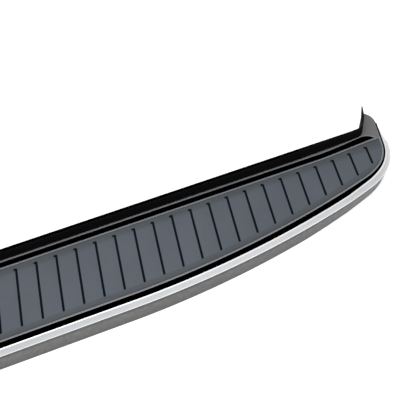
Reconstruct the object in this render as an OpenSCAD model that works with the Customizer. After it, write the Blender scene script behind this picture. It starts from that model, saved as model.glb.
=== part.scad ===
// Running board for the left or right side of an estate car or light truck.
// X runs along the board, the outer edge is at -Y, the vehicle is at +Y, +Z is up.

/* [Deck] */
// Height of the deck's top face above the lowest edge
deck_h = 60; // [58:1:66]
// Width from the tread's inner edge to the deck's outer edge, at the middle
deck_w = 147.5; // [140:0.5:155]
// Half length of the straight stretch of the outer edge
edge_flat = 200; // [190:5:210]
// Radius of the long outer arc
edge_r = 2300; // [2280:10:2320]
// Angle that the long outer arc turns through on each side
edge_turn = 14.2; // [14.1:0.1:14.3]
// Radius of the shoulder that leads into each outer corner
shoulder_r = 150; // [145:5:155]
// Radius of the outer corner at each end
corner_r = 72; // [70:1:74]
// Length of the straight end edge
end_run = 56; // [55:0.5:57]
// Radius of the small corner beside the end blade
tail_r = 28.5; // [28:0.5:29]
// Thickness of the deck moulding
deck_t = 8; // [7.6:0.1:8]

/* [Tread] */
// Distance from one tread slot to the next
slot_pitch = 42; // [38:1:42]
// Number of slots on each side of the middle slot
slots_per_side = 19; // [10:1:19]
// Width of a tread slot
slot_w = 4.4; // [3.6:0.2:6]
// Depth of a tread slot
slot_depth = 2.4; // [1:0.2:3]
// Lean of the slots from square across the board
slot_lean = 6; // [0:0.5:8]
// Thickness of the tread pad
pad_t = 4; // [3.4:0.2:4]

/* [Vehicle side] */
// Height of the sill upstand above the deck
upstand_h = 29; // [20:1:32]
// Distance from the tread's inner edge to the upstand
wall_line = 15.5; // [15.5:0.1:16]
// Radius that the upstand turns at each end
wall_corner_r = 24; // [23:0.5:25]
// Length of the straight blade after that turn
blade_len = 46; // [44:0.5:46]
// Width of the drain channel between tread and lip
groove_w = 11.2; // [10:0.2:11.2]
// Depth of the drain channel
groove_depth = 7.5; // [6:0.5:7.5]
// Depth of the inner wall's lower edge below the deck
wall_drop = 50; // [48:1:52]

/* [Outer side] */
// Width of the black gap beside the deck
gap_w = 10.5; // [9:0.5:12]
// Width of the bright trim strip, seen from above
strip_w = 13; // [12:0.5:15]
// Outward flare of the valance's lower edge
flare = 14; // [12:0.5:15]

/* [Structure] */
// Width of the box beam
beam_w = 70; // [66:1:74]
// Height of the box beam
beam_h = 24; // [22:1:25]
// Half length of the box beam
beam_half = 720; // [700:5:740]
// Wall thickness of the box beam
beam_wall = 2.5; // [2:0.1:3]
// Distance from the middle seat to each outer seat
seat_spacing = 525; // [515:1:535]
// Distance between the two M8 holes of a seat
seat_hole_pitch = 50; // [46:1:54]
// Radius of the seat's M8 clearance holes
seat_hole_r = 4.5; // [4.4:0.1:4.7]
// Distance between neighbouring cross members
member_pitch = 225; // [215:1:230]

/* [Hidden] */

$fn = 48;
eps = 0.01;
fit_gap = 0.3;

shoulder_heading = 30; // direction in which the shoulder ends, from +X
end_heading = 80;      // direction of the end edge
tail_heading = 148;    // direction in which the small corner ends
blade_heading = 59;    // direction of the end blade
bow_r = 4000;          // the inner side bows slightly towards the vehicle near each end
bow_turn = 2.8;
bow_start = 596;
pad_rim = 3;           // deck rim left showing round the tread pad
pad_rim_in = 2.8;
slot_hook = 3.4;
groove_rise = 6.5;     // how far the channel's tread side moves to the vehicle at its tip
groove_bow_start = 701;
groove_tip = 829;
upstand_t = 2.6;       // thickness of the upstand's top edge
upstand_foot = 5;
blade_lean = 14;       // how far the top of a blade's end stands to the vehicle side of its foot
trough_wall = 2.5;
liner_t = 1.2;
strip_top = -2.5;      // heights below are measured from the deck's top face
strip_bottom = -17;
seal_top = -3.5;
seal_bottom = -10;
valance_t = 3;
plate_t = 3;
plate_z = -deck_t - plate_t;
member_t = 3;
member_z = plate_z - member_t;
beam_z = member_z - beam_h;
beam_y = -60;          // middle of the beam, from the tread's inner edge
seat_t = 4;
seat_z = beam_z - seat_t;
seat_w = 56;
seat_half = 50;
seat_boss = 5;         // the middle of a seat stands lower than its bolt heads
seat_boss_half = 34;
wall_t = 3;
wall_end = 900;        // past the inner wall's ends
wall_top = -10;
wall_foot = 9;         // how far the wall's bottom flange reaches under the board
wall_foot_t = 2;
blade_drop = 20;       // how far an end panel reaches down at its tip
wall_outline = [[0, wall_top], [wall_t, wall_top], [wall_t, -wall_drop], [-wall_foot, -wall_drop],
    [-wall_foot, wall_foot_t - wall_drop], [0, wall_foot_t - wall_drop]];
member_x = [for (i = [-3:3]) i * member_pitch];
bay_x = [for (i = [-3:2]) (i + 0.5) * member_pitch];   // middles of the bays between cross members
seat_x = [-seat_spacing, 0, seat_spacing];
m5_r = 2.5;
m6_r = 3;
m8_r = 4;

// ---- Outlines: each point is [x, y, heading], the board's outer side on the right ----

function arc_path(p, h0, h1, r, n) = [for (i = [0:n]) let (h = h0 + (h1 - h0) * i / n)
    [p.x + r * (sin(h) - sin(h0)), p.y + r * (cos(h0) - cos(h)), h]];
function last(v) = v[len(v) - 1];
function rest(v) = [for (i = [1:len(v) - 1]) v[i]];
function ahead(p, run) = [p.x + run * cos(p[2]), p.y + run * sin(p[2]), p[2]];
function aside(p, d) = [p.x + d * sin(p[2]), p.y - d * cos(p[2])];
function mirrored(path) = [for (i = [len(path) - 1:-1:0]) [-path[i].x, path[i].y, -path[i][2]]];
function both_ends(path) = concat(mirrored(path), path);

long_arc = arc_path([edge_flat, -deck_w], 0, edge_turn, edge_r, 20);
shoulder_arc = arc_path(last(long_arc), edge_turn, shoulder_heading, shoulder_r, 6);
corner_arc = arc_path(last(shoulder_arc), shoulder_heading, end_heading, corner_r, 14);
end_line = [for (i = [1:8]) ahead(last(corner_arc), end_run * i / 8)];
tail_arc = arc_path(last(end_line), end_heading, tail_heading, tail_r, 10);
rim_half = concat(long_arc, rest(shoulder_arc), rest(corner_arc), end_line);
outer_half = concat(rim_half, rest(tail_arc));

bow_arc = arc_path([bow_start, wall_line], 0, bow_turn, bow_r, 8);
wall_arc = arc_path(last(bow_arc), bow_turn, blade_heading, wall_corner_r, 14);
blade_tip = ahead(last(wall_arc), blade_len);
blade_line = [for (i = [1:5]) ahead(last(wall_arc), blade_len * i / 5)];
inner_half = concat(bow_arc, rest(wall_arc), blade_line);

// The deck's outline, moved outwards by d on the outer side only
function deck_outline(d) = concat([for (p = both_ends(outer_half)) aside(p, d)],
    [for (i = [len(inner_half) - 1:-1:0]) [inner_half[i].x, inner_half[i].y]],
    [for (p = inner_half) [-p.x, p.y]]);

function edge_y(x) = abs(x) < edge_flat ? -deck_w
    : -deck_w + edge_r - sqrt(edge_r * edge_r - pow(abs(x) - edge_flat, 2));
function wall_y(x) = abs(x) < bow_start ? wall_line
    : wall_line + bow_r - sqrt(bow_r * bow_r - pow(abs(x) - bow_start, 2));
function ramp(a, b, t) = min(1, max(0, (t - a) / (b - a)));

// The black gap narrows towards each corner, the bright strip fades out along each end edge,
// and the valance stands less far out towards the ends
corner_gap = 3.6;
strip_swell = 3;       // the strip is this much wider round the corners
function gap_at(p) = gap_w - (gap_w - corner_gap) * ramp(705, 815, abs(p.x));
function strip_at(p) = (strip_w + strip_swell * ramp(700, 800, abs(p.x))) * (1 - 0.96 * ramp(-5, 34, p.y));
function flare_at(p) = (flare - 4 * ramp(200, 600, abs(p.x)) - 7 * ramp(600, 800, abs(p.x)))
    * (1 - ramp(-60, -10, p.y));

// How far the upstand's top leans to the vehicle, more towards the ends and most on the blades
blade_foot_lean = 9;
function lean_at(p) = upstand_foot + 3 * ramp(600, 700, abs(p.x)) + ramp(20, blade_heading, abs(p[2]))
    + (blade_lean - blade_foot_lean) * ramp(last(wall_arc).y, blade_tip.y, p.y);

// Tread side and vehicle side of the drain channel, which widens and then closes to a blunt tip
function groove_low(x) = groove_rise * ramp(groove_bow_start, groove_tip, abs(x));
function groove_high(x) = groove_w + 8 * pow(ramp(670, 795, abs(x)), 1.7)
    - 13 * pow(ramp(795, groove_tip, abs(x)), 3);
groove_x = concat([0, groove_bow_start], [for (i = [1:16]) groove_bow_start + 8 * i]);
function groove_outline(inset) = let (xs = [for (x = groove_x) x * (1 - inset / 300)],
    all_x = concat([for (i = [len(xs) - 1:-1:1]) -xs[i]], xs))
    concat([for (x = all_x) [x, groove_low(x) + inset]],
        [for (i = [len(all_x) - 1:-1:0]) let (x = all_x[i])
            [x, max(groove_high(x) - inset, groove_low(x) + inset + 0.6)]]);

// ---- Building blocks ----

module place() {
    translate([0, y_shift, deck_h]) children();
}

module slab(points, low, high) {
    translate([0, 0, low]) linear_extrude(high - low) polygon(points);
}

// Both hands of a shape that is drawn for the +X end
module both_sides() {
    children();
    mirror([1, 0, 0]) children();
}

// Sweeps a closed section along a path. section(p) gives [offset, height] points.
module sweep(path, section) {
    k = len(section(path[0]));
    n = len(path);
    points = [for (p = path) for (q = section(p)) [aside(p, q.x).x, aside(p, q.x).y, q.y]];
    sides = [for (i = [0:n - 2]) for (j = [0:k - 1]) let (a = i * k + j, b = i * k + (j + 1) % k)
        [a, b, b + k, a + k]];
    caps = [[for (j = [k - 1:-1:0]) j], [for (j = [0:k - 1]) (n - 1) * k + j]];
    polyhedron(points, concat(sides, caps), convexity = 10);
}

// Stands a section up across a straight run that starts at p. Section x points to the vehicle.
module straight_wall(p, run) {
    translate([p.x, p.y, 0]) rotate([0, 0, p[2]]) rotate([90, 0, 90]) linear_extrude(run) children();
}

// Turns a section through an arc that starts at p and bends to the vehicle side
module curved_wall(p, r, turn) {
    translate([p.x - r * sin(p[2]), p.y + r * cos(p[2]), 0]) rotate([0, 0, p[2] - 90])
        rotate_extrude(angle = turn, $fn = 180) translate([r, 0]) mirror([1, 0]) children();
}

module hex_bolt(r, af, head, shank) {
    cylinder(h = head, d = af / cos(30), $fn = 6);
    translate([0, 0, head]) cylinder(h = shank, r = r);
}

module hex_nut(r, af, height) {
    difference() {
        cylinder(h = height, d = af / cos(30), $fn = 6);
        translate([0, 0, -1]) cylinder(h = height + 2, r = r);
    }
}

// ---- Visible pieces ----

module tread_field(inset) {
    intersection() {
        polygon(deck_outline(-pad_rim - inset));
        polygon(concat([for (i = [-16:16]) let (x = i * 54) [x, groove_low(x) - pad_rim_in - inset]],
            [[864, -300], [-864, -300]]));
    }
}

// A slot has round ends, and its inner end is hooked
module tread_slot(i) {
    x = i * slot_pitch;
    top = groove_low(x) - 12;
    run = (top - edge_y(x - 10 * sign(i)) - 15.5 - 5 * ramp(760, 800, abs(x))) / cos(slot_lean);
    translate([x, top]) rotate(-slot_lean) translate([0, -slot_w / 2]) {
        translate([-slot_w / 2, slot_w - run]) square([slot_w, run - slot_w]);
        translate([0, slot_w - run]) circle(d = slot_w, $fn = 16);
        circle(d = slot_w, $fn = 16);
        translate([-slot_hook, -slot_w / 2]) square([slot_hook, slot_w]);
        translate([-slot_hook, 0]) circle(d = slot_w, $fn = 16);
    }
}

module tread_pad() {
    color([0.35, 0.38, 0.41]) place() difference() {
        translate([0, 0, -pad_t]) linear_extrude(pad_t) tread_field(fit_gap);
        translate([0, 0, -slot_depth]) linear_extrude(slot_depth + 1)
            for (i = [-slots_per_side:slots_per_side]) tread_slot(i);
    }
}

module deck_moulding() {
    color([0.44, 0.44, 0.43]) place() difference() {
        union() {
            slab(deck_outline(0), -deck_t, 0);
            slab(groove_outline(-trough_wall), -groove_depth - trough_wall, -1);
        }
        translate([0, 0, -pad_t]) linear_extrude(pad_t + 1) tread_field(0);
        slab(groove_outline(0), -groove_depth, 1);
        pin_places() translate([0, 0, -deck_t - 1]) cylinder(h = deck_t + 2, r = m5_r);
    }
}

module channel_liner() {
    color([0.03, 0.03, 0.03]) place() difference() {
        slab(groove_outline(0), -groove_depth, -0.6);
        slab(groove_outline(liner_t), -groove_depth + liner_t, 1);
    }
}

module outer_gap_seal() {
    color([0.02, 0.02, 0.02]) place() sweep(both_ends(outer_half), function(p)
        [[0, seal_bottom], [gap_at(p), seal_bottom], [gap_at(p), seal_top], [0, seal_top]]);
}

module trim_strip() {
    color([0.86, 0.87, 0.88]) place() sweep(both_ends(rim_half), function(p)
        let (a = gap_at(p), w = strip_at(p), drop = (strip_top - strip_bottom - 4) * min(1, w / strip_w))
        [[a, strip_bottom], [a + w, strip_bottom], [a + w, strip_top - drop], [a + w * 0.25, strip_top],
            [a, strip_top]]);
}

module valance() {
    color([0.44, 0.44, 0.42]) place() difference() {
        sweep(both_ends(rim_half), function(p)
            let (a = gap_at(p) + strip_at(p), f = flare_at(p), top = strip_bottom - eps)
            [[-5, top - valance_t], [a - valance_t, top - valance_t],
                [a + f - valance_t, valance_t - deck_h], [a + f - 12, valance_t - deck_h],
                [a + f - 12, -deck_h], [a + f, -deck_h], [a, top], [-5, top]]);
        valance_screw_places() cylinder(h = 20, r = m5_r, center = true);
    }
}

// Leans towards the vehicle as it rises, which is the negative side of its path
module sill_upstand() {
    color([0.03, 0.03, 0.03]) place() sweep(both_ends(inner_half), function(p) let (lean = lean_at(p))
        [[-upstand_foot, wall_top], [0, wall_top], [0, 0], [upstand_t - lean, upstand_h],
            [-lean, upstand_h], [-3.5, -1]]);
}

module wall_section() {
    polygon(wall_outline);
}

// Each seat has a notch, sloped on one side, where the vehicle's bracket arm enters
module bracket_notch() {
    translate([0, wall_line + 10, 0]) rotate([90, 0, 0]) linear_extrude(30)
        polygon([[-27, -wall_drop - 5], [22, -wall_drop - 5], [20, -29], [-11, -29]]);
}

module wall_run() {
    straight_wall([-bow_start, wall_line, 0], 2 * bow_start) wall_section();
    both_sides() curved_wall(bow_arc[0], bow_r, bow_turn) wall_section();
}

// One length of the inner wall. Neighbouring lengths meet in the middle of a notch.
module inner_wall(x_low, x_high) {
    color([0.05, 0.05, 0.05]) place() {
        difference() {
            intersection() {
                wall_run();
                translate([x_low, -50, -100]) cube([x_high - x_low, 200, 100]);
            }
            for (x = seat_x) translate([x, 0, 0]) bracket_notch();
            wall_screw_places() cylinder(h = 60, r = m5_r, center = true);
        }
        for (x = seat_x) if (x >= x_low && x < x_high)
            translate([x + 22, wall_line, -wall_drop - 8.5]) cube([9, wall_t, 16]);
    }
}

// An end panel has the wall's section, which gets lower along the blade
module end_panel() {
    place() difference() {
        sweep(concat(wall_arc, [blade_tip]), function(p)
            let (rise = (wall_drop - blade_drop) * ramp(last(wall_arc).y, blade_tip.y, p.y))
            [for (q = wall_outline) [-q.x, q.y < wall_top ? q.y + rise : wall_top]]);
        end_bolt_place() cylinder(h = 40, r = m6_r, center = true);
    }
}

module end_panel_front() {
    color([0.05, 0.05, 0.05]) end_panel();
}

module end_panel_rear() {
    color([0.05, 0.05, 0.05]) mirror([1, 0, 0]) end_panel();
}

// ---- Structure under the deck ----

module deck_plate() {
    color([0.7, 0.71, 0.72]) place() difference() {
        slab([for (x = [-750:125:750]) [x, edge_y(x) + 6], [750, -4], [-750, -4]], plate_z, -deck_t);
        beam_screw_places() translate([0, 0, plate_z - 1]) cylinder(h = plate_t + 2, r = m6_r);
        pin_places() translate([0, 0, plate_z - 1]) cylinder(h = plate_t + 2, r = m5_r);
    }
}

module support_beam() {
    color([0.72, 0.73, 0.74]) place() difference() {
        translate([-beam_half, beam_y - beam_w / 2, beam_z]) cube([2 * beam_half, beam_w, beam_h]);
        translate([-beam_half - 1, beam_y - beam_w / 2 + beam_wall, beam_z + beam_wall])
            cube([2 * beam_half + 2, beam_w - 2 * beam_wall, beam_h - 2 * beam_wall]);
        beam_screw_places() translate([0, 0, member_z - beam_wall - 1]) cylinder(h = 5, r = m6_r);
        seat_places() {
            seat_hole_pair() translate([0, 0, -1]) cylinder(h = beam_wall + 2, r = 8);
            seat_bolt_pair() translate([0, 0, -1]) cylinder(h = beam_wall + 2, r = 4.5);
        }
    }
}

module beam_plug() {
    place() translate([beam_half, beam_y, beam_z + beam_h / 2]) difference() {
        union() {
            translate([0, -beam_w / 2, -beam_h / 2]) cube([3, beam_w, beam_h]);
            translate([-18, beam_wall - beam_w / 2, beam_wall - beam_h / 2])
                cube([18, beam_w - 2 * beam_wall, beam_h - 2 * beam_wall]);
        }
        translate([-19, -beam_w / 2 + 5, -beam_h / 2 + 5]) cube([18, beam_w - 10, beam_h - 10]);
    }
}

module beam_plug_front() {
    color([0.08, 0.08, 0.08]) beam_plug();
}

module beam_plug_rear() {
    color([0.08, 0.08, 0.08]) mirror([1, 0, 0]) beam_plug();
}

// A pressed strap from the valance's top flange to the inner wall
module cross_member(x) {
    outer = edge_y(x) - 6;
    inner = wall_y(x) - 1;
    width = 36;
    color([0.55, 0.56, 0.57]) place() difference() {
        translate([x - width / 2, 0, 0]) {
            translate([0, outer, member_z]) cube([width, inner - outer, member_t]);
            translate([0, outer, strip_bottom]) cube([width, 16, member_z - strip_bottom + eps]);
            translate([0, inner - member_t, -36]) cube([width, member_t, 36 + member_z + eps]);
        }
        beam_screw_places() translate([0, 0, member_z - 1]) cylinder(h = member_t + 2, r = m6_r);
        valance_screw_places() cylinder(h = 20, r = m5_r, center = true);
        wall_screw_places() cylinder(h = 60, r = m5_r, center = true);
    }
}

module bracket_seat(x) {
    color([0.12, 0.12, 0.13]) place() translate([x, beam_y, seat_z]) difference() {
        union() {
            translate([-seat_half, -seat_w / 2, 0]) cube([2 * seat_half, seat_w, seat_t]);
            translate([-seat_boss_half, -seat_w / 2, -seat_boss])
                cube([2 * seat_boss_half, seat_w, seat_boss + 1]);
        }
        seat_hole_pair() translate([0, 0, -seat_boss - 1])
            cylinder(h = seat_t + seat_boss + 2, r = seat_hole_r);
        seat_bolt_pair() translate([0, 0, -1]) cylinder(h = seat_t + 2, r = m6_r);
    }
}

// ---- Where the fasteners sit ----

module seat_places() {
    for (x = seat_x) translate([x, beam_y, beam_z]) children();
}

module seat_hole_pair() {
    for (s = [-1, 1]) translate([s * seat_hole_pitch / 2, 0, 0]) children();
}

module seat_bolt_pair() {
    for (s = [-1, 1]) translate([s * 41, 0, 0]) children();
}

module beam_screw_places() {
    for (x = member_x) for (s = [-1, 1]) translate([x, beam_y + s * 22, 0]) children();
}

module pin_places() {
    for (x = bay_x) for (y = [edge_y(x) + 32, -16]) translate([x, y, 0]) children();
}

module valance_screw_places() {
    for (x = member_x) translate([x, edge_y(x) - 1, strip_bottom]) children();
}

module wall_screw_places() {
    for (x = member_x) translate([x, wall_y(x), -27]) rotate([-90, 0, 0]) children();
}

// On the lower blade of the +X end, pointing to the vehicle side
module end_bolt_place() {
    p = ahead(last(wall_arc), blade_len / 4);
    translate([p.x, p.y, -26]) rotate([0, 0, p[2]]) rotate([-90, 0, 0]) children();
}

// ---- Fasteners ----

module seat_weld_nuts() {
    color([0.75, 0.75, 0.72]) place() seat_places() seat_hole_pair() hex_nut(m8_r, 13, 6.5);
}

module seat_bolts() {
    color([0.78, 0.78, 0.75]) place() seat_places() seat_bolt_pair()
        translate([0, 0, -seat_t - 4.5]) hex_bolt(m6_r, 10, 4.5, 16);
}

module seat_rivet_nuts() {
    color([0.8, 0.78, 0.7]) place() seat_places() seat_bolt_pair() difference() {
        cylinder(h = 11, r = 4.5);
        translate([0, 0, -1]) cylinder(h = 13, r = m6_r);
    }
}

module beam_screws() {
    color([0.75, 0.75, 0.75]) place() beam_screw_places() translate([0, 0, member_z - 9])
        cylinder(h = 9 + member_t + plate_t, r = m6_r);
}

module valance_screws() {
    color([0.75, 0.75, 0.75]) place() valance_screw_places() translate([0, 0, -valance_t - 3.5])
        hex_bolt(m5_r, 8, 3.5, 6);
}

module wall_screws() {
    color([0.12, 0.12, 0.12]) place() wall_screw_places() {
        translate([0, 0, wall_t]) cylinder(h = 2.5, r = 5);
        translate([0, 0, -6]) cylinder(h = 6 + wall_t, r = m5_r);
    }
}

module end_panel_bolts() {
    color([0.82, 0.82, 0.8]) both_sides() place() end_bolt_place() {
        translate([0, 0, wall_t]) cylinder(h = 1.6, r = 8);
        translate([0, 0, wall_t + 1.6]) cylinder(h = 4, d = 10 / cos(30), $fn = 6);
        translate([0, 0, -8]) cylinder(h = 8 + wall_t, r = m6_r);
    }
}

module end_panel_nuts() {
    color([0.75, 0.75, 0.72]) both_sides() place() end_bolt_place()
        translate([0, 0, -5]) hex_nut(m6_r, 10, 5);
}

// Plastic clips that hold the bright strip's inner edge against the seal
module trim_clips() {
    color([0.1, 0.1, 0.1]) place() for (bay = bay_x) for (x = [bay - 56, bay + 56])
        translate([x - 7, edge_y(x) - gap_w + 1.5, strip_bottom]) cube([14, gap_w - 3, 6.5]);
}

module deck_pins() {
    color([0.1, 0.1, 0.1]) place() pin_places() {
        translate([0, 0, plate_z - 3]) cylinder(h = 3, r = 5.5);
        translate([0, 0, plate_z]) cylinder(h = plate_t + deck_t - pad_t, r = m5_r);
    }
}

// The frame's origin is midway between the outermost valance edge and the blade's top corner
y_low = -deck_w - gap_w - strip_w - flare;
y_high = blade_tip.y + blade_lean * cos(blade_heading);
y_shift = -(y_low + y_high) / 2;

tread_pad();
deck_moulding();
channel_liner();
outer_gap_seal();
trim_strip();
valance();
sill_upstand();
inner_wall(-wall_end, seat_x[0]);  // inner_wall_1
inner_wall(seat_x[0], seat_x[1]);  // inner_wall_2
inner_wall(seat_x[1], seat_x[2]);  // inner_wall_3
inner_wall(seat_x[2], wall_end);  // inner_wall_4
end_panel_front();
end_panel_rear();
deck_plate();
support_beam();
beam_plug_front();
beam_plug_rear();
cross_member(member_x[0]);  // cross_member_1
cross_member(member_x[1]);  // cross_member_2
cross_member(member_x[2]);  // cross_member_3
cross_member(member_x[3]);  // cross_member_4
cross_member(member_x[4]);  // cross_member_5
cross_member(member_x[5]);  // cross_member_6
cross_member(member_x[6]);  // cross_member_7
bracket_seat(seat_x[2]);  // bracket_seat_front
bracket_seat(seat_x[1]);  // bracket_seat_centre
bracket_seat(seat_x[0]);  // bracket_seat_rear
seat_weld_nuts();
seat_bolts();
seat_rivet_nuts();
beam_screws();
valance_screws();
wall_screws();
end_panel_bolts();
end_panel_nuts();
trim_clips();
deck_pins();
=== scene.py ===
"""Looks of the running board: a finished copy of every CAD node, with a floor, lights and a camera.

Lengths are in metres. X runs along the board, -Y is its outer side, +Y the vehicle side, +Z up.
"""
import math

import bmesh
import bpy
from mathutils import Matrix, Vector


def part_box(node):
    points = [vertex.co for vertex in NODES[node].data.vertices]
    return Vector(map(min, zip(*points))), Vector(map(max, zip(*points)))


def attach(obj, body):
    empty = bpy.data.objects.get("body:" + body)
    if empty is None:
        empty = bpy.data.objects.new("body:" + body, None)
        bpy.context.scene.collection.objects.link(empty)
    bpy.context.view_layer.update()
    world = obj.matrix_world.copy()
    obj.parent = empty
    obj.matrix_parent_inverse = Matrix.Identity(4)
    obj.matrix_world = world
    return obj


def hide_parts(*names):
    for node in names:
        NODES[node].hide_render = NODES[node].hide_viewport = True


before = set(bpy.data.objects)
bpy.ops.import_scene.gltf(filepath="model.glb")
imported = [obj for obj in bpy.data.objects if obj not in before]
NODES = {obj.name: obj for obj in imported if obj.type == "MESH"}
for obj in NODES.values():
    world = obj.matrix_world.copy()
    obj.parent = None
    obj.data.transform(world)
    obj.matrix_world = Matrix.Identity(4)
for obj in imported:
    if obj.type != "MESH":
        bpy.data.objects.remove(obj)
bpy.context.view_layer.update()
MM = 0.001

# Places that several steps share, read from the frame
DECK_LOW, DECK_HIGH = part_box("deck_moulding")
PAD_LOW, PAD_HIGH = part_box("tread_pad")
VALANCE_LOW, VALANCE_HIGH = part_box("valance")

# The pad's outer edge is straight in the middle and then follows one long arc towards each end
EDGE_FLAT = 0.200
EDGE_RADIUS = 2.300

# The painted shade beside the pad's rim fades out over this distance, and faster along the outer edge
RIM_SHADE_REACH = 30 * MM
OUTER_RATE = 1.8

# How a copy of a CAD mesh is cleaned, and how its edges and faces are sorted
WELD = 0.01 * MM                  # vertices closer than this become one
FLAT_ANGLE = math.radians(0.5)    # edges between faces that turn by less are taken out
SHARP_ANGLE = math.radians(30)    # edges between faces that turn by more are rolled over
SUNK_DEPTH = 0.05 * MM            # a face is sunk when it lies lower than this under the top
LEVEL = 0.99                      # a face looks straight up when its normal's Z is more than this

FLOOR_SIZE = 120


# ---------------------------------------------------------------- materials

def new_material(name):
    """A material with a Principled shader, and the tree's nodes and links to build on."""
    material = bpy.data.materials.new(name)
    material.use_nodes = True
    tree = material.node_tree
    shader = tree.nodes["Principled BSDF"]
    return material, tree, shader


def place(tree, scale=(1, 1, 1)):
    """Object coordinates, in metres, stretched by scale."""
    coords = tree.nodes.new("ShaderNodeTexCoord")
    mapping = tree.nodes.new("ShaderNodeMapping")
    mapping.inputs["Scale"].default_value = scale
    tree.links.new(coords.outputs["Object"], mapping.inputs["Vector"])
    return mapping.outputs["Vector"]


def noise(tree, vector, scale, detail=3.0, roughness=0.5):
    """The value of a noise texture."""
    node = tree.nodes.new("ShaderNodeTexNoise")
    node.inputs["Scale"].default_value = scale
    node.inputs["Detail"].default_value = detail
    node.inputs["Roughness"].default_value = roughness
    tree.links.new(vector, node.inputs["Vector"])
    return node.outputs["Fac"]


def spread(tree, value, low, high, start=0.35, stop=0.65):
    """value, from start to stop, moved to the range low to high."""
    node = tree.nodes.new("ShaderNodeMapRange")
    node.inputs["From Min"].default_value = start
    node.inputs["From Max"].default_value = stop
    node.inputs["To Min"].default_value = low
    node.inputs["To Max"].default_value = high
    tree.links.new(value, node.inputs["Value"])
    return node.outputs["Result"]


def blend_colour(tree, factor, first, second):
    """A colour between first and second; each is a tuple or a socket."""
    node = tree.nodes.new("ShaderNodeMix")
    node.data_type = "RGBA"
    tree.links.new(factor, node.inputs["Factor"])
    for socket, colour in ((node.inputs[6], first), (node.inputs[7], second)):
        if isinstance(colour, tuple):
            socket.default_value = colour + (1.0,)
        else:
            tree.links.new(colour, socket)
    return node.outputs[2]


def shade(colour, factor):
    """The colour made lighter or darker."""
    return tuple(min(1.0, c * factor) for c in colour)


def bump(tree, shader, height, strength, distance):
    """Adds a relief to the shader, on top of any that it has."""
    node = tree.nodes.new("ShaderNodeBump")
    node.inputs["Strength"].default_value = strength
    node.inputs["Distance"].default_value = distance
    tree.links.new(height, node.inputs["Height"])
    if shader.inputs["Normal"].is_linked:
        tree.links.new(shader.inputs["Normal"].links[0].from_socket, node.inputs["Normal"])
    tree.links.new(node.outputs["Normal"], shader.inputs["Normal"])


def cells(tree, vector, scale):
    """Distance to the nearest cell centre, for leathery mould grain."""
    node = tree.nodes.new("ShaderNodeTexVoronoi")
    node.inputs["Scale"].default_value = scale
    tree.links.new(vector, node.inputs["Vector"])
    return node.outputs["Distance"]


def moulded(name, colour, roughness, grain=1500, relief=0.12, mottle=0.08, specular=0.4, broad=9):
    """Moulded plastic or rubber: fine mould grain, faint mottling and scuffed roughness.

    grain and broad are how many grains and patches of mottling there are in a metre.
    """
    specks_per_metre = 420.0
    speck_tone = 0.82
    roughness_range = 0.06
    grain_depth = 0.2 * MM
    speck_depth = 0.15 * MM
    material, tree, shader = new_material(name)
    vector = place(tree)
    patches = noise(tree, vector, broad, 4.0)
    fine = noise(tree, vector, specks_per_metre, 4.0, 0.6)
    dark, light = shade(colour, 1 - mottle), shade(colour, 1 + mottle)
    base = blend_colour(tree, spread(tree, patches, 0, 1), dark, light)
    speckled = blend_colour(tree, spread(tree, fine, 0, 0.35), base, shade(colour, speck_tone))
    tree.links.new(speckled, shader.inputs["Base Color"])
    uneven = spread(tree, fine, roughness - roughness_range, roughness + roughness_range)
    tree.links.new(uneven, shader.inputs["Roughness"])
    shader.inputs["Specular IOR Level"].default_value = specular
    bump(tree, shader, cells(tree, vector, grain), relief, grain_depth)
    bump(tree, shader, fine, relief * 0.6, speck_depth)
    return material


def calculate(tree, operation, first, second=0.0):
    """The result of one step of arithmetic; each value is a number or a socket."""
    node = tree.nodes.new("ShaderNodeMath")
    node.operation = operation
    for socket, value in zip(node.inputs, (first, second)):
        if isinstance(value, (int, float)):
            socket.default_value = value
        else:
            tree.links.new(value, socket)
    return node.outputs["Value"]


def pad_margin(tree):
    """Distance inside the pad's inner or long outer edge, whichever is less.

    The distance from the outer edge is counted OUTER_RATE times.
    """
    split = tree.nodes.new("ShaderNodeSeparateXYZ")
    tree.links.new(place(tree), split.inputs["Vector"])
    past_flat = calculate(tree, "SUBTRACT", calculate(tree, "ABSOLUTE", split.outputs["X"]), EDGE_FLAT)
    along = calculate(tree, "POWER", calculate(tree, "MAXIMUM", past_flat, 0.0), 2.0)
    across = calculate(tree, "SUBTRACT", PAD_LOW.y + EDGE_RADIUS, split.outputs["Y"])
    reach = calculate(tree, "SQRT", calculate(tree, "ADD", along, calculate(tree, "POWER", across, 2.0)))
    outer = calculate(tree, "MULTIPLY", calculate(tree, "SUBTRACT", EDGE_RADIUS, reach), OUTER_RATE)
    inner = calculate(tree, "SUBTRACT", PAD_HIGH.y, split.outputs["Y"])
    return calculate(tree, "MINIMUM", outer, inner)


def paint_shade(material, value, stops):
    """Multiplies the material's colour by one that changes with value, as painted shade; stops are (value,
    colour) pairs.
    """
    tree = material.node_tree
    base = tree.nodes["Principled BSDF"].inputs["Base Color"]
    unshaded = base.links[0].from_socket
    ramp = tree.nodes.new("ShaderNodeValToRGB")
    tree.links.new(value, ramp.inputs["Fac"])
    spare = ramp.color_ramp.elements[1]
    ramp.color_ramp.elements.remove(spare)
    for number, (position, tone) in enumerate(stops):
        stop = ramp.color_ramp.elements[0] if number == 0 else ramp.color_ramp.elements.new(position)
        stop.position = position
        stop.color = tone + (1.0,)
    shaded = tree.nodes.new("ShaderNodeMix")
    shaded.data_type = "RGBA"
    shaded.blend_type = "MULTIPLY"
    shaded.inputs["Factor"].default_value = 1.0
    tree.links.new(unshaded, shaded.inputs[6])
    tree.links.new(ramp.outputs["Color"], shaded.inputs[7])
    tree.links.new(shaded.outputs[2], base)


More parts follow.
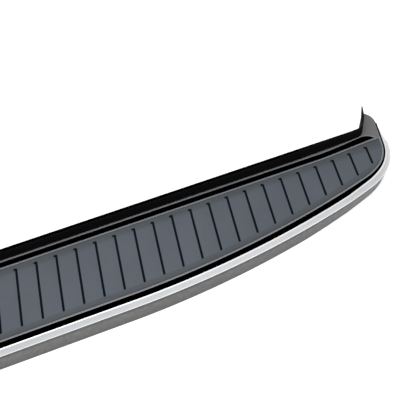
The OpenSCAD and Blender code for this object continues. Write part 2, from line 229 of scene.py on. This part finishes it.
def paint_pad_rim_shade(material):
    """Paints shade on the pad beside its rim, in the band that the slots do not reach."""
    reach = spread(material.node_tree, pad_margin(material.node_tree), 0, 1, 0, RIM_SHADE_REACH)
    paint_shade(material, reach, ((0.08, (0.56, 0.58, 0.54)), (0.24, (0.73, 0.75, 0.69)),
                              (0.60, (0.79, 0.81, 0.76)), (0.85, (1.0, 1.0, 1.0))))


def paint_valance_shade(material):
    """Paints shade on the valance: a painted shadow just under the strip, and shade that deepens little by
    little towards its lower edge.
    """
    tree = material.node_tree
    split = tree.nodes.new("ShaderNodeSeparateXYZ")
    tree.links.new(place(tree), split.inputs["Vector"])
    height = spread(tree, split.outputs["Z"], 0, 1, VALANCE_LOW.z, VALANCE_HIGH.z)
    greys = ((0.0, 0.46), (0.12, 0.58), (0.35, 0.74), (0.58, 0.88), (0.72, 1.0), (0.80, 0.92), (0.88, 0.62))
    paint_shade(material, height, [(position, (grey, grey, grey)) for position, grey in greys])


def metal(name, colour, roughness, along=(6, 900, 900), relief=0.05, tarnish=0.06):
    """Drawn or brushed metal, with fine lines along the board and slight tarnish."""
    line_tone = 0.9
    line_depth = 0.05 * MM
    material, tree, shader = new_material(name)
    lines = noise(tree, place(tree, along), 1.0, 4.0, 0.6)
    cloud = noise(tree, place(tree), 14.0, 5.0, 0.6)
    base = blend_colour(tree, spread(tree, cloud, 0, 1), shade(colour, 1 - tarnish), colour)
    streaked = blend_colour(tree, spread(tree, lines, 0, 0.5), base, shade(colour, line_tone))
    tree.links.new(streaked, shader.inputs["Base Color"])
    tree.links.new(spread(tree, lines, roughness - 0.05, roughness + 0.07), shader.inputs["Roughness"])
    shader.inputs["Metallic"].default_value = 1.0
    bump(tree, shader, lines, relief, line_depth)
    return material


SLATE = (0.078, 0.090, 0.108)
# Near black of the slots' walls and floors: painted shadow inside the slots
SLOT_SHADOW_NAVY = (0.005, 0.007, 0.012)
# Darker slate of the pad's rolled edges: painted shade along the slot mouths and the rim
EDGE_SHADE_SLATE = (0.052, 0.061, 0.074)
DECK_GREY = (0.128, 0.129, 0.131)
# Light grey of the deck moulding's rolled edges: painted highlight along the rim and lip
EDGE_HIGHLIGHT_GREY = (0.33, 0.34, 0.375)
VALANCE_GREY = (0.121, 0.121, 0.118)
BLACK = (0.0022, 0.0022, 0.0026)
SOFT_BLACK = (0.0055, 0.0055, 0.006)
SILVER = (0.645, 0.66, 0.675)
# Lighter silver of the strip's rolled edges and upward faces: painted highlight
HIGHLIGHT_SILVER = (0.80, 0.815, 0.83)
ALUMINIUM = (0.72, 0.73, 0.74)
ZINC = (0.66, 0.67, 0.66)
COATED = (0.02, 0.02, 0.022)

tread_rubber = moulded("tread_rubber", SLATE, 0.66, grain=1100, relief=0.18, mottle=0.06, specular=0.25)
# The pad's rolled edges get a darker slate as painted shade
edge_shade_rubber = moulded("edge_shade_rubber", EDGE_SHADE_SLATE, 0.7, grain=1100, relief=0.12, specular=0.15)
# Painted shade on the pad along its rim
paint_pad_rim_shade(tread_rubber)
# The pad's faces under its top are painted near black as shadow in the slots
slot_shadow_rubber = moulded("slot_shadow_rubber", SLOT_SHADOW_NAVY, 0.8, grain=1100, relief=0.1, specular=0.05)
deck_plastic = moulded("deck_plastic", DECK_GREY, 0.55, grain=1500, relief=0.1, mottle=0.04, specular=0.3)
# The deck's rolled edges get a light grey as painted highlight
edge_highlight_plastic = moulded("edge_highlight_plastic", EDGE_HIGHLIGHT_GREY, 0.45, grain=1500, relief=0.06, mottle=0.06)
valance_plastic = moulded("valance_plastic", VALANCE_GREY, 0.5, grain=1800, relief=0.08, mottle=0.16,
                          broad=110)
# Painted shade on the valance, under the strip and towards its lower edge
paint_valance_shade(valance_plastic)
black_rubber = moulded("black_rubber", BLACK, 0.8, grain=900, relief=0.2, specular=0.06)
black_plastic = moulded("black_plastic", SOFT_BLACK, 0.65, grain=1300, relief=0.15, specular=0.15)
trim_metal = metal("trim_metal", SILVER, 0.46, relief=0.04, tarnish=0.08)
# Lighter, glossier silver for the strip's rolled edges and upward faces, as painted highlight
highlight_metal = metal("highlight_metal", HIGHLIGHT_SILVER, 0.3, relief=0.02, tarnish=0.02)
beam_metal = metal("beam_metal", ALUMINIUM, 0.42, along=(8, 500, 500), relief=0.12, tarnish=0.15)
zinc = metal("zinc", ZINC, 0.38, along=(300, 300, 300), relief=0.15, tarnish=0.2)
coated_steel = moulded("coated_steel", COATED, 0.45, grain=2500, relief=0.06, specular=0.4)


# ---------------------------------------------------------------- pieces

def finished(node, material, width=0.5, segments=3, edge=None, sunk=None, crest=None):
    """A copy of a CAD node with its sharp edges rolled over by width (mm), shown in the node's place.

    edge is the material of the rolled edges, sunk that of everything under the top face, and crest
    that of faces that look straight up.
    """
    mesh = NODES[node].data.copy()
    mesh.materials.clear()
    for coat in (material, sunk or material, edge or material, crest or material):
        mesh.materials.append(coat)
    piece = bpy.data.objects.new(node + "_finish", mesh)
    bpy.context.scene.collection.objects.link(piece)
    work = bmesh.new()
    work.from_mesh(mesh)
    bmesh.ops.remove_doubles(work, verts=work.verts, dist=WELD)
    bmesh.ops.dissolve_limit(work, angle_limit=FLAT_ANGLE, verts=work.verts, edges=work.edges)
    top = max(vertex.co.z for vertex in work.verts)
    rolled = work.edges.layers.float.new("bevel_weight_edge")
    for corner in work.edges:
        sharp = len(corner.link_faces) == 2 and corner.calc_face_angle() > SHARP_ANGLE
        corner[rolled] = 1.0 if sharp and corner.is_convex else 0.0
    for face in work.faces:
        face.smooth = True
        below = face.calc_center_median().z < top - SUNK_DEPTH
        face.material_index = 1 if sunk and below else 0
        if crest and face.normal.z > LEVEL:
            face.material_index = 3
    work.to_mesh(mesh)
    work.free()
    roll = piece.modifiers.new("rolled_edges", "BEVEL")
    roll.width = width * MM
    roll.segments = segments
    roll.limit_method = "WEIGHT"
    roll.use_clamp_overlap = False
    roll.harden_normals = True
    roll.miter_outer = "MITER_ARC"
    if edge:
        roll.material = 2
    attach(piece, "root")
    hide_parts(node)


# The pad's slot faces carry painted shadow, and its rolled edges painted shade
finished("tread_pad", tread_rubber, 0.55, edge=edge_shade_rubber, sunk=slot_shadow_rubber)
# The deck's rolled edges carry painted highlight
finished("deck_moulding", deck_plastic, 0.7, edge=edge_highlight_plastic)
finished("channel_liner", black_rubber, 0.2)
finished("outer_gap_seal", black_rubber, 0.8)
# The strip's rolled edges and upward faces carry painted highlight
finished("trim_strip", trim_metal, 1.1, edge=highlight_metal, crest=highlight_metal)
finished("valance", valance_plastic, 0.9)
finished("sill_upstand", black_rubber, 0.9)
for number in range(1, 5):
    finished(f"inner_wall_{number}", black_plastic, 0.6)
for end in ("front", "rear"):
    finished(f"end_panel_{end}", black_plastic, 0.6)
    finished(f"beam_plug_{end}", black_plastic, 0.5)
finished("deck_plate", beam_metal, 0.3, 2)
finished("support_beam", beam_metal, 0.5)
for number in range(1, 8):
    finished(f"cross_member_{number}", zinc, 0.8)
for seat in ("front", "centre", "rear"):
    finished(f"bracket_seat_{seat}", coated_steel, 0.7)
for fastener in ("seat_weld_nuts", "seat_bolts", "seat_rivet_nuts", "beam_screws", "valance_screws",
                 "end_panel_bolts", "end_panel_nuts"):
    finished(fastener, zinc, 0.35, 2)
finished("wall_screws", coated_steel, 0.6)
for clip in ("trim_clips", "deck_pins"):
    finished(clip, black_plastic, 0.4, 2)


# ---------------------------------------------------------------- floor, light and camera

def floor():
    """A pale studio floor that the board lies on, with a slight glow of its own."""
    glow = 0.3
    bpy.ops.mesh.primitive_plane_add(size=FLOOR_SIZE)
    plane = bpy.context.object
    plane.name = "floor"
    material, tree, shader = new_material("floor_paper")
    tone = spread(tree, noise(tree, place(tree), 2.0), 0, 1)
    paper = blend_colour(tree, tone, (0.93, 0.93, 0.93), (0.95, 0.95, 0.95))
    tree.links.new(paper, shader.inputs["Base Color"])
    shader.inputs["Roughness"].default_value = 0.9
    shader.inputs["Specular IOR Level"].default_value = 0.1
    shader.inputs["Emission Color"].default_value = (1.0, 1.0, 1.0, 1.0)
    shader.inputs["Emission Strength"].default_value = glow
    plane.data.materials.append(material)


def softbox(name, place_at, aim, size, power):
    """A square area light that looks at a point."""
    data = bpy.data.lights.new(name, "AREA")
    data.shape = "SQUARE"
    data.size = size
    data.energy = power
    lamp = bpy.data.objects.new(name, data)
    bpy.context.scene.collection.objects.link(lamp)
    lamp.location = place_at
    lamp.rotation_mode = "QUATERNION"
    lamp.rotation_quaternion = (Vector(aim) - Vector(place_at)).to_track_quat("-Z", "Y")


def studio():
    """A white surround, brighter overhead than at eye level, with two large soft lights."""
    middle = (0, 0, 0)
    dimmest, brightest = 0.62, 1.12
    low_sky, high_sky = 0.15, 0.75
    world = bpy.data.worlds.new("studio")
    bpy.context.scene.world = world
    world.use_nodes = True
    tree = world.node_tree
    background = tree.nodes["Background"]
    background.inputs["Color"].default_value = (1.0, 1.0, 1.0, 1.0)
    direction = tree.nodes.new("ShaderNodeTexCoord")
    split = tree.nodes.new("ShaderNodeSeparateXYZ")
    tree.links.new(direction.outputs["Generated"], split.inputs["Vector"])
    brightness = spread(tree, split.outputs["Z"], dimmest, brightest, low_sky, high_sky)
    tree.links.new(brightness, background.inputs["Strength"])
    softbox("overhead", (-0.6, 0.5, 2.6), middle, size=2.4, power=26)
    softbox("front_fill", (0.8, -2.6, 1.2), middle, size=2.0, power=4)
    bpy.context.scene.view_settings.view_transform = "Standard"


def photo_camera():
    """A camera about a metre above the deck and outside it, on the +X side, that looks steeply down."""
    along, outside, above = 0.28487, 0.27348, 0.98582
    azimuth, elevation, roll = math.radians(18.66), math.radians(67.26), math.radians(1.72)
    forward = Vector((math.sin(azimuth) * math.cos(elevation), math.cos(azimuth) * math.cos(elevation),
                      -math.sin(elevation)))
    right = Vector((math.cos(azimuth), -math.sin(azimuth), 0))
    down = forward.cross(right)
    rolled_right = right * math.cos(roll) + down * math.sin(roll)
    rolled_down = down * math.cos(roll) - right * math.sin(roll)
    data = bpy.data.cameras.new("camera")
    data.sensor_width = 36
    data.lens = 42.86
    camera = bpy.data.objects.new("camera", data)
    bpy.context.scene.collection.objects.link(camera)
    turn = Matrix((rolled_right, -rolled_down, -forward)).transposed()
    stand = Vector((along, DECK_LOW.y - outside, DECK_HIGH.z + above))
    camera.matrix_world = Matrix.Translation(stand) @ turn.to_4x4()
    bpy.context.scene.camera = camera


floor()
studio()
photo_camera()
